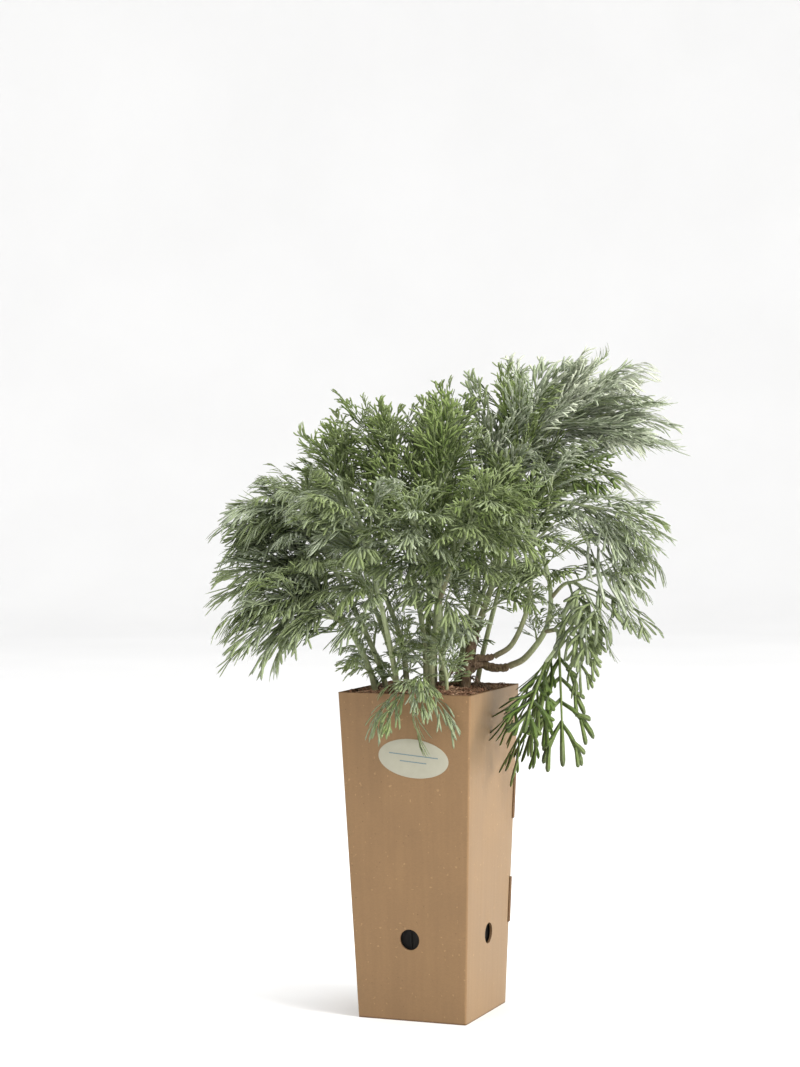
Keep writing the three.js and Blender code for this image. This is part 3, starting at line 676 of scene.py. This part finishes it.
def leaf_lobes(line, random):
    """The lobes of a leaf in its plane: feet and tips as shares of its length, bend to the side and width."""
    cut = next(cut for spread, cut in CUTS if line["spread"] <= spread)
    short = line["length"] < SHORT_LEAF
    pairs = max(3, cut["pairs"] - (1 if short else 0))
    rows = []

    def lobe(foot, tip, hand, width, forks):
        """A lobe with smaller lobes that leave it at acute angles."""
        foot, tip = np.array(foot, float), np.array(tip, float)
        rows.append((*foot, *tip, hand * random.uniform(0.05, 0.18), width))
        reach = tip - foot
        for share, angle, size in forks:
            aim = np.array(spun(*reach, math.radians(angle * random.uniform(0.75, 1.3)) * hand))
            start = foot + reach * share * random.uniform(0.85, 1.15)
            end = start + aim * size * random.uniform(0.8, 1.15)
            rows.append((*start, *end, hand * random.uniform(-0.03, 0.08), width * random.uniform(0.78, 0.95)))

    for base in np.linspace(*cut["stand"], pairs):
        for hand in (1, -1):
            foot = base + random.uniform(-0.025, 0.025)
            end = foot + cut["ahead"] * random.uniform(0.85, 1.1)
            out = np.interp(end, REACH_AT, REACH_OUT) * line["spread"] * random.uniform(0.85, 1.05) * hand
            forks = cut["forks"][:1] if short or base < 0.25 else cut["forks"]
            lobe((foot, 0), (end, out), hand, random.uniform(0.85, 1.1), forks)
    rows.append((cut["stand"][1] - 0.02, 0, BLADE["end"], 0, random.uniform(-0.05, 0.05), 1.0))
    return np.array(rows)


def add_leaf(heap, line, silver, segment, random, fall=0.05, slot=0):
    """One finely cut leaf: a slim rib and blunt, slightly thick lobes of a width in millimetres."""
    rows = leaf_lobes(line, random)
    shape = BROAD_LOBE if segment > 3 else FINE_LOBE
    count = len(rows)
    feet, tips = rows[:, 0:2], rows[:, 2:4]
    reach = tips - feet
    middle = (feet + tips) / 2 + np.stack([-reach[:, 1], reach[:, 0]], -1) * rows[:, 4:5]
    shares = np.append(shape["at"], 1.0)
    u = shares[None, :, None]
    spine = feet[:, None] * (1 - u) ** 2 + middle[:, None] * 2 * u * (1 - u) + tips[:, None] * u**2
    slope = 2 * (1 - u) * (middle - feet)[:, None] + 2 * u * (tips - middle)[:, None]
    edge = np.stack([-slope[..., 1], slope[..., 0]], -1)
    edge /= np.linalg.norm(edge, axis=-1, keepdims=True)
    slim = np.clip(line["length"] / 55, 0.72, 1.1)
    half = (segment * slim / 2 * rows[:, 5:6] * shape["wide"])[..., None] / line["length"]
    thick = (0.22 + 0.1 * segment) * shape["thick"] * rows[:, 5:6]
    size = np.linalg.norm(reach, axis=-1) * line["length"]
    curl = ((random.normal(0, 0.16) + random.normal(0, 0.06, count)) * size)[:, None] * shares**2
    sink = (random.uniform(0.4, 1.0, count) * fall * line["length"])[:, None] * shares**1.7
    sink = sink + (np.abs(tips[:, 1]) * line["length"] * fall)[:, None] * shares

    def placed(plane, lift, drop):
        spots = blade_points(line, plane[..., 0], plane[..., 1] * line["length"])
        return spots + line["face"] * lift[..., None] - UP * drop[..., None]

    body, bend, drop = spine[:, :-1], curl[:, :-1], sink[:, :-1]
    rings = np.stack([placed(body + edge[:, :-1] * half, bend, drop), placed(body, bend + thick, drop),
                      placed(body - edge[:, :-1] * half, bend, drop)], 2).reshape(count, -1, 3)
    points = np.concatenate([rings, placed(spine, curl, sink)[:, -1:]], 1)
    per = points.shape[1]
    pattern = spike_faces(len(shape["at"]))[None]
    faces = np.where(pattern < 0, -1, pattern + (np.arange(count) * per)[:, None, None])
    tone = silver + 0.34 * (random.random() - 0.5) + np.repeat(random.normal(0, 0.06, count), per)
    tone = tone + np.tile(np.append(np.repeat(shape["at"], 3), 1.0) * 0.12, count)
    # Painted shade: the further back from the shoot's tip, deeper in the bush, the lower this value and the
    # darker the leaf is painted.
    shade = 1 - 0.65 * line["back"] * random.uniform(0.5, 1.0)
    heap.add(points.reshape(-1, 3), faces, slot, silver=tone, shade=shade)

    along = np.linspace(0, 0.95, 8)
    rib_width = 0.72 * segment if segment > 3 else 0.3 + 0.3 * segment
    wide = np.interp(along, [0, 0.12, 0.5, 0.95], [1.0, 0.7, 0.6, 0.42]) * rib_width * slim / 2
    spots = blade_points(line, along, 0 * along)
    rib = np.stack([spots + line["across"] * wide[:, None], spots + line["face"] * wide[:, None] * 1.2,
                    spots - line["across"] * wide[:, None]], 1)
    heap.add(rib.reshape(-1, 3), ring_faces(len(along), 3), slot, silver=silver + 0.25, shade=shade)


def inside_box(line):
    """Whether a leaf's end stays in the solid model's box."""
    end = blade_points(line, BLADE["end"], 0) * MM
    return all(low <= value <= high for low, value, high in zip(CAD_BOX[0], end, CAD_BOX[1]))


def loose_leaf(shoot, root, way, length, droop, random, back):
    """A leaf that no solid blade stands for; droop is the least and most of its shoot's."""
    return blade_line(root, way, length * random.uniform(0.75, 1.05), shoot.droop * random.uniform(*droop),
                      random.uniform(-0.7, 0.7), shoot.spread, back)


def add_side_shoot(heap, root, way, size, count, leaf, shoot, random, silver, segment):
    """A short shoot that leaves a stem and turns up a little, with leaves that lean as the stem's do."""
    route = [root, root + way * size * 0.5 + UP * size * 0.05, root + way * size + UP * size * 0.2]
    start = random.random() * 360
    lean = turned(shoot.sweep)
    for k in range(count):
        share = 1 - 0.75 * k / count
        spot = route[0] * (1 - share) ** 2 + 2 * route[1] * share * (1 - share) + route[2] * share**2
        ahead = unit((route[1] - route[0]) * (1 - share) + (route[2] - route[1]) * share)
        opening = math.radians(random.uniform(16, 30) + 30 * (1 - share))
        out = aside(ahead, math.radians(k * GOLDEN_ANGLE + start))
        aim = unit(ahead * math.cos(opening) + out * math.sin(opening) + 0.5 * lean)
        line = loose_leaf(shoot, spot, aim, leaf, (0.5, 1.2), random, 0.3)
        if inside_box(line):
            add_leaf(heap, line, silver + random.uniform(-0.08, 0.08), segment, random)
    middle = (route[0] + 2 * route[1] + route[2]) / 4
    add_line_tube(heap, [route[0], middle, route[2]], 1.0, 0.5)


def add_line_tube(heap, points, first, last, slot=1, sides=6, **values):
    """A thin round tube through a few points in the frame's axes."""
    points = np.array(points, float)
    ways = np.gradient(points, axis=0)
    rings = []
    for spot, way, radius in zip(points, ways, np.linspace(first, last, len(points))):
        way = unit(way)
        side = unit(np.cross(way, ROUND_FROM))
        angles = np.arange(sides)[:, None] * 2 * math.pi / sides
        rings.append(spot + radius * (np.cos(angles) * side + np.sin(angles) * np.cross(way, side)))
    heap.add(np.concatenate(rings), ring_faces(len(points), sides), slot,
             **(values or dict(silver=0.7, shade=1, age=0.3)))


def add_side_shoots(heap, shoot, number):
    """Side shoots along the leafy part of a stem, and a few small sprigs on its bare foot."""
    line = Route(shoot.route)
    random = np.random.default_rng(500 + number)
    for i in range(shoot.side):
        back = (i + 0.6) / shoot.side
        share = 1 - (1 - shoot.bare) * back
        ahead = line.way(share)
        out = aside(ahead, math.radians(i * GOLDEN_ANGLE + number * 97))
        way = unit(ahead + 0.75 * out + 0.5 * turned(shoot.sweep) + 0.15 * UP)
        size = shoot.reach * random.uniform(0.3, 0.55) * (0.7 + 0.3 * back)
        add_side_shoot(heap, line.at(share), way, size, 6, shoot.reach * (0.68 + 0.1 * back), shoot, random,
                       shoot.silver, shoot.segment)
    for i in range(shoot.low):
        share = shoot.bare * (0.4 + 0.55 * (i + random.random()) / shoot.low)
        ahead = line.way(share)
        out = unit(np.cross(ahead, random.normal(0, 1, 3)))
        add_side_shoot(heap, line.at(share), unit(ahead * 0.6 + out), random.uniform(8, 22), 6,
                       random.uniform(20, 32), shoot, random, 0.48, 1.6)


def leaf_places(shoot):
    """Leaf places of a shoot: the solid model's, and the ones that stand between them."""
    every, between = BLADE["every"], shoot.between
    places = []
    for k in range(0, shoot.leaves, every):
        places.append((k, True))
        places += [(k + every * (i + 1) / (between + 1), False) for i in range(between)]
    return [(k, solid) for k, solid in places if k <= shoot.leaves - 1]


def grow_plant(leaf_finish, stem_finish):
    """Every leafy stem as one piece, in place of the solid stem of its name."""
    for stem in dict.fromkeys(shoot.stem for shoot in SHOOTS):
        heap = Heap("silver", "shade", "age")
        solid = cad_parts[stem].data
        tree = KDTree(len(solid.vertices))
        for i, vertex in enumerate(solid.vertices):
            tree.insert(vertex.co, i)
        tree.balance()
        for number, shoot in enumerate(SHOOTS):
            if shoot.stem != stem:
                continue
            add_tube(heap, shoot.route, shoot.thick, 1, seed=number, silver=0.7, shade=1)
            for k, solid_leaf in leaf_places(shoot):
                attempt = solid_blade_attempt(tree, shoot, number, k) if solid_leaf else 0
                random = np.random.default_rng(1000 * number + round(10 * k))
                line = leaf_line(shoot, number, k, attempt)
                if not solid_leaf:
                    way = unit(unit(line["middle"] - line["root"]) + 0.22 * random.normal(0, 1, 3))
                    line = loose_leaf(shoot, line["root"], way, line["length"], (0.6, 1.4), random, line["back"])
                    if not inside_box(line):
                        continue
                add_leaf(heap, line, shoot.silver, shoot.segment, random)
            add_side_shoots(heap, shoot, number)
        name = stem.replace("_stem", "_foliage").replace("_shoot", "_sprig")
        piece = heap.piece(name, [leaf_finish, stem_finish])
        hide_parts(stem)


def grow_woody_base(bark, withered):
    heap = Heap("age")
    for number, limb in enumerate(WOODY_LIMBS):
        add_tube(heap, limb["route"], limb["thick"], 0, sides=24, rings=70, ridges=3, ridge=0.04, knots=0.12,
                 seed=40 + number)
    scatter_dry_leaves(heap, 1)
    piece = heap.piece("woody_base_bark", [bark, withered])
    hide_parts("woody_base")


# The cardboard sleeve


def half_at(z):
    """Half the sleeve's outer width at a height."""
    return (SLEEVE_BASE + (SLEEVE_TOP - SLEEVE_BASE) * z / SLEEVE_HEIGHT) / 2


QUARTERS = [i * math.pi / 2 for i in range(4)]  # turns to the sleeve's four sides


def square_ring(half, radius, z, along=14, corner=5):
    """A closed loop of points round a square with rounded folds, at a height."""
    radius = max(radius, 0.05)
    flat = np.linspace(-1, 1, along) * (half - radius)
    bend = np.radians(np.linspace(0, 90, corner + 2)[1:-1])
    front = [(x, -half) for x in flat]
    fold = [(half - radius + radius * math.sin(a), -half + radius - radius * math.cos(a)) for a in bend]
    return np.array([(*spun(x, y, turn), z) for turn in QUARTERS for x, y in front + fold])


def sleeve_wall():
    """Outer and inner liner with the hollow rim between them, as one closed skin with a floor."""
    heights = np.concatenate([[0, 0.5], np.linspace(2, SLEEVE_HEIGHT - 1.5, 56), [SLEEVE_HEIGHT - 0.3]])
    rings = [square_ring(half_at(z), FOLD_RADIUS, z) for z in heights]
    top = half_at(SLEEVE_HEIGHT)
    gap = SLEEVE_HEIGHT - RIM_GAP
    rim = [(0, SLEEVE_HEIGHT), (LINER, SLEEVE_HEIGHT), (LINER, gap), (BOARD - LINER, gap),
           (BOARD - LINER, SLEEVE_HEIGHT), (BOARD, SLEEVE_HEIGHT)]
    rings += [square_ring(top - inside, FOLD_RADIUS - inside, z) for inside, z in rim]
    for z in np.linspace(SLEEVE_HEIGHT - 4, BOARD, 20):
        rings.append(square_ring(half_at(z) - BOARD, FOLD_RADIUS - BOARD, z))
    for share in (0.66, 0.33, 0.02):
        rings.append(square_ring((half_at(BOARD) - BOARD) * share, 0.05, BOARD))
    bottom = [square_ring(half_at(0) * share, FOLD_RADIUS * share, 0) for share in (0.02, 0.33, 0.66, 0.985)]
    around = len(rings[0])
    rings = bottom + rings
    points = np.concatenate(rings)
    quads = ring_faces(len(rings), around)
    edge = len(bottom) + len(heights)
    slots = np.zeros(len(quads), int)
    slots[(edge - 1) * around: (edge + len(rim)) * around] = 1
    return points, quads, slots


def cut(piece, cutter):
    """Takes the cutter out of the piece, and removes it."""
    modifier = piece.modifiers.new("cut", "BOOLEAN")
    modifier.operation = "DIFFERENCE"
    modifier.solver = "EXACT"
    modifier.object = cutter
    depsgraph = bpy.context.evaluated_depsgraph_get()
    made = bpy.data.meshes.new_from_object(piece.evaluated_get(depsgraph))
    piece.modifiers.clear()
    piece.data = made
    bpy.data.objects.remove(cutter)


def cutter_object(name, points, faces, material):
    mesh = bpy.data.meshes.new(name)
    mesh.from_pydata([tuple(p * MM for p in point) for point in points], [], faces)
    mesh.materials.append(material)
    return put(name, mesh)


def bar_cutter(axis, material, sides=64):
    """A long round bar through both vent holes along an axis."""
    reach, radius = SLEEVE_TOP, VENT["diameter"] / 2
    points = []
    for end in (-reach, reach):
        for a in (2 * math.pi * i / sides for i in range(sides)):
            flat, high = radius * math.cos(a), VENT["height"] + radius * math.sin(a)
            points.append((end, flat, high) if axis == "x" else (-flat, end, high))
    faces = [tuple(range(sides))[::-1], tuple(range(sides, 2 * sides))]
    faces += [(i, (i + 1) % sides, (i + 1) % sides + sides, i + sides) for i in range(sides)]
    return cutter_object("vent_cutter", points, faces, material)


def box_faces(low, high):
    """Corners and faces of a block between its ends, each given as (x0, x1, y0, y1, z)."""
    points = [(x, y, z) for x0, x1, y0, y1, z in (low, high)
              for x, y in ((x0, y0), (x1, y0), (x1, y1), (x0, y1))]
    faces = [(3, 2, 1, 0), (4, 5, 6, 7), (0, 1, 5, 4), (1, 2, 6, 5), (2, 3, 7, 6), (3, 0, 4, 7)]
    return points, faces


def fold_box(z, height, depth, width, out, proud):
    """A block at the rear right fold, with its four sides measured in or out from the sleeve's faces."""
    return box_faces(*[(half_at(z) - depth, half_at(z) + out, half_at(z) - width, half_at(z) + proud, z)
                       for z in (z, z + height)])


def add_tab(heap, z):
    """A tab of the rear panel that comes through its notch: liner on its faces, raw board at its end."""
    for depth, out, slot in ((BOARD + 0.2, -0.4, 0), (1.0, TAB["proud"], 1)):
        heap.add(*fold_box(z, TAB["length"], depth, TAB["width"], out, -0.02), slot)


def add_flutes(heap):
    """The board's wavy middle paper, seen between its liners at the rim: one closed ribbon along each side."""
    top = SLEEVE_HEIGHT - FLUTE["below_rim"]
    reach = half_at(SLEEVE_HEIGHT) - BOARD
    along = np.arange(-reach, reach, FLUTE["pitch"] / 8)
    wave = (BOARD / 2 - LINER - FLUTE["paper"] / 2) * np.sin(along * 2 * math.pi / FLUTE["pitch"])
    for turn in QUARTERS:
        rings = []
        for x, shift in zip(along, wave):
            middle = half_at(SLEEVE_HEIGHT) - BOARD / 2 + shift
            corners = [(middle - FLUTE["paper"] / 2, top), (middle + FLUTE["paper"] / 2, top),
                       (middle + FLUTE["paper"] / 2, top - 2), (middle - FLUTE["paper"] / 2, top - 2)]
            rings.append([(*spun(x, -y, turn), z) for y, z in corners])
        last = 4 * (len(along) - 1)
        caps = [[3, 2, 1, 0], [last, last + 1, last + 2, last + 3]]
        heap.add(np.array(rings).reshape(-1, 3), np.concatenate([ring_faces(len(along), 4), caps]), 1)


def make_sleeve(liner, edge):
    heap = Heap()
    heap.add(*sleeve_wall())
    sleeve = heap.piece("kraft_sleeve", [liner, edge])
    cutters = [bar_cutter(axis, edge) for axis in "xy"]
    cutters += [cutter_object("notch", *fold_box(z, TAB["length"] + TAB["play"], BOARD + 0.4,
                                                 TAB["width"] + TAB["play"], 1, 1), edge) for z in SEAM_TABS]
    reach, groove = BASE_FLAP["width"] / 2, BASE_FLAP["groove"]
    flap = [(-reach, reach, BASE_FLAP["edge"], BASE_FLAP["edge"] + groove, z) for z in (-1, groove)]
    cutters.append(cutter_object("flap_edge", *box_faces(*flap), edge))
    for cutter in cutters:
        cut(sleeve, cutter)
    sleeve.data.set_sharp_from_angle(angle=math.radians(SHARP_FROM))
    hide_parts("cardboard_sleeve")

    heap = Heap()
    for z in SEAM_TABS:
        add_tab(heap, z)
    add_flutes(heap)
    inner = heap.piece("board_tabs_and_flutes", [liner, edge])
    inner.data.set_sharp_from_angle(angle=math.radians(SHARP_FROM))


# Soil


def soil_height(x, y):
    """Height of the soil's surface, x and y from -1 to 1 across the sleeve."""
    lumps = sum(size * noise.noise(Vector((x * grain, y * grain, 3.7 * grain)))
                for size, grain in ((1.3, 4), (1.0, 11), (0.7, 26)))
    return SOIL["layer"] + SOIL["rise"] * (1 - x * x) * (1 - y * y) + lumps


def make_soil(mix, fibre):
    """A loose top layer of mix over the plug, with bark crumbs and coir fibres on it."""
    cells = SOIL["cells"]
    half = half_at(SOIL["layer"]) - BOARD - 0.15
    steps = np.linspace(-1, 1, cells)
    top = [(x * half, y * half, soil_height(x, y)) for y in steps for x in steps]
    index = np.arange(cells * cells).reshape(cells, cells)
    quads = np.stack([index[:-1, :-1], index[:-1, 1:], index[1:, 1:], index[1:, :-1]], -1).reshape(-1, 4)
    loop = np.concatenate([index[0, :-1], index[:-1, -1], index[-1, :0:-1], index[:0:-1, 0]])
    points = np.array(top)
    skirt = points[loop] * (1, 1, 0) + (0, 0, SOIL["under"])
    low = len(points) + np.arange(len(loop))
    sides = np.stack([low, np.roll(low, -1), np.roll(loop, -1), loop], -1)
    middle = len(points) + len(loop)
    floor = np.stack([np.roll(low, -1), low, np.full(len(low), middle), np.full(len(low), -1)], -1)
    heap = Heap("tone")
    heap.add(np.concatenate([points, skirt, [(0, 0, SOIL["under"])]]), np.concatenate([quads, sides, floor]))
    random = np.random.default_rng(61)
    ball = [unit(np.array(p)) for p in ((0, 0, 1), (1, 0, 0), (0, 1, 0), (-1, 0, 0), (0, -1, 0), (0, 0, -1))]
    ball += [unit(ball[a] + ball[b]) for a, b in OCTAHEDRON_EDGES]
    for _ in range(SOIL["crumbs"]):
        x, y = random.uniform(-0.95, 0.95, 2)
        size = random.uniform(0.5, 2.0, 3) * (1, 0.7, 0.45) * random.choice([0.8, 1.0, 1.5])
        spin = np.linalg.qr(random.normal(0, 1, (3, 3)))[0]
        lump = np.array(ball) * size * random.uniform(0.7, 1.15, (len(ball), 1)) @ spin
        spot = np.array([x * half, y * half, soil_height(x, y) + 0.3])
        heap.add(spot + lump, OCTAHEDRON_FACES, 1, tone=random.uniform(0, 0.75))
    for _ in range(SOIL["fibres"]):
        x, y = random.uniform(-0.96, 0.96, 2)
        angle, bend, length = random.uniform(0, 2 * math.pi), random.normal(0, 0.9), random.uniform(6, 19)
        spots = []
        along, across = np.array([spun(1, 0, angle), spun(0, 1, angle)])
        for share in np.linspace(0, 1, 7):
            flat = np.array([x, y]) * half + (share - 0.5) * length * along
            flat = np.clip(flat + bend * length * 0.3 * (share - 0.5) ** 2 * across, 0.5 - half, half - 0.5)
            spots.append((*flat, soil_height(*(flat / half)) + random.uniform(0.1, 1.6)))
        add_line_tube(heap, spots, random.uniform(0.2, 0.4), 0.15, 1, 4, tone=random.uniform(0.15, 0.8))
    piece = heap.piece("loose_soil_and_coir", [mix, fibre])


def scatter_dry_leaves(heap, slot):
    """A few withered leaves that cling to the foot of the woody base."""
    random = np.random.default_rng(77)
    for _ in range(DRY_LEAVES):
        spot = turned((random.uniform(14, 40), random.uniform(-12, 8), random.uniform(219, 238)))
        way = unit(np.append(random.normal(0, 1, 2), random.uniform(-0.5, 0.6)))
        line = blade_line(spot, way, random.uniform(9, 16), 0.3, random.uniform(-1, 1), 0.9)
        add_leaf(heap, line, 0.5, 1.5, random, slot=slot)


def make_label(paper, ink):
    """The oval sticker, bare but for two plain rules."""
    lean = math.atan((SLEEVE_TOP - SLEEVE_BASE) / 2 / SLEEVE_HEIGHT)

    def on_face(flat_x, flat_y, proud):
        x, y = spun(flat_x, flat_y, math.radians(LABEL["turn"]))
        out = half_at(LABEL["up"]) + y * math.sin(lean) + proud * math.cos(lean)
        return (LABEL["across"] + x, -out, LABEL["up"] + y * math.cos(lean) + proud * math.sin(lean))

    around = 96
    angles = np.arange(around) * 2 * math.pi / around
    thick = LABEL["thick"]
    rings = [(1.0, 0.02), (1.0, 0.16), (0.992, thick), (0.7, thick), (0.35, thick), (0.01, thick)]
    points = [on_face(LABEL["width"] / 2 * s * math.cos(a), LABEL["height"] / 2 * s * math.sin(a), proud)
              for s, proud in rings for a in angles]
    heap = Heap()
    heap.add(points, ring_faces(len(rings), around))
    label = heap.piece("oval_sticker", [paper])
    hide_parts("oval_label")

    heap = Heap()
    steps = RULES["steps"]
    for row, reach in RULES["rows"]:
        spots = [on_face(x, row + y, thick + 0.015) for x in np.linspace(-reach, reach, steps)
                 for y in (-RULES["half"], RULES["half"])]
        quads = [[2 * i, 2 * i + 2, 2 * i + 3, 2 * i + 1] for i in range(steps - 1)]
        heap.add(spots, quads)
    rules = heap.piece("sticker_rules", [ink])


add_camera()
add_studio()
add_floor(pale_floor())

grow_plant(felted_leaf(), felted_stem())
grow_woody_base(young_bark(), dry_leaf())
make_sleeve(kraft(), raw_board())
make_label(label_paper(), label_ink())
mix = potting_mix()
make_soil(mix, coir())
for node, finish in (("inner_pot", black_plastic()), ("potting_soil", mix)):
    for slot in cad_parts[node].material_slots:
        slot.material = finish
